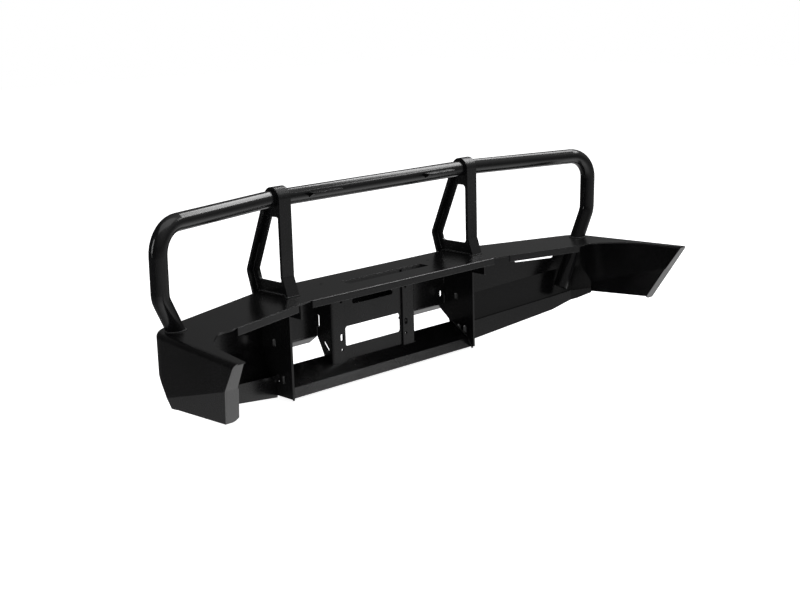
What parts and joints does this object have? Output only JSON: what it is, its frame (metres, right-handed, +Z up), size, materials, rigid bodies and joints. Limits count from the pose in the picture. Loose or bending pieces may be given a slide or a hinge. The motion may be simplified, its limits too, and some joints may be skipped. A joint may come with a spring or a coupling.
{
  "type": "front grille guard",
  "caption": "Steel front guard bar with a hoop tube, triangular uprights, folded wings, winch cradle and chassis plates.",
  "frame": {"origin": "middle of the bar's footprint, level with its lowest edge", "axes": "+X across the vehicle along the bar, to the right for a viewer standing behind it; +Y to the front of the vehicle; +Z up"},
  "size_m": [1.9478, 0.6501, 0.6616],
  "materials": {
    "skin_coat": "satin",
    "plate_coat": "satin",
    "tube_coat": "satin",
    "strap_coat": "satin"
  },
  "bodies": {
    "root": {"hoop_tube": "tube_coat", "upright_strap_left": "strap_coat", "upright_strap_right": "strap_coat", "upright_web_left": "strap_coat", "upright_web_right": "strap_coat", "top_pan": "skin_coat", "rear_lip_centre": "skin_coat", "rear_lip_left": "skin_coat", "rear_lip_right": "skin_coat", "centre_skin": "skin_coat", "wing_front_left": "skin_coat", "wing_front_right": "skin_coat", "wing_skin_left": "skin_coat", "wing_skin_right": "skin_coat", "wing_return_left": "skin_coat", "wing_return_right": "skin_coat", "lower_rail_left": "plate_coat", "lower_rail_right": "plate_coat", "crossmember": "plate_coat", "chassis_plate_left": "plate_coat", "chassis_plate_right": "plate_coat", "cradle_wall_left": "plate_coat", "cradle_wall_right": "plate_coat", "cradle_plate": "plate_coat", "lamp_tab_left": "skin_coat", "lamp_tab_right": "skin_coat"}
  },
  "joints": []
}
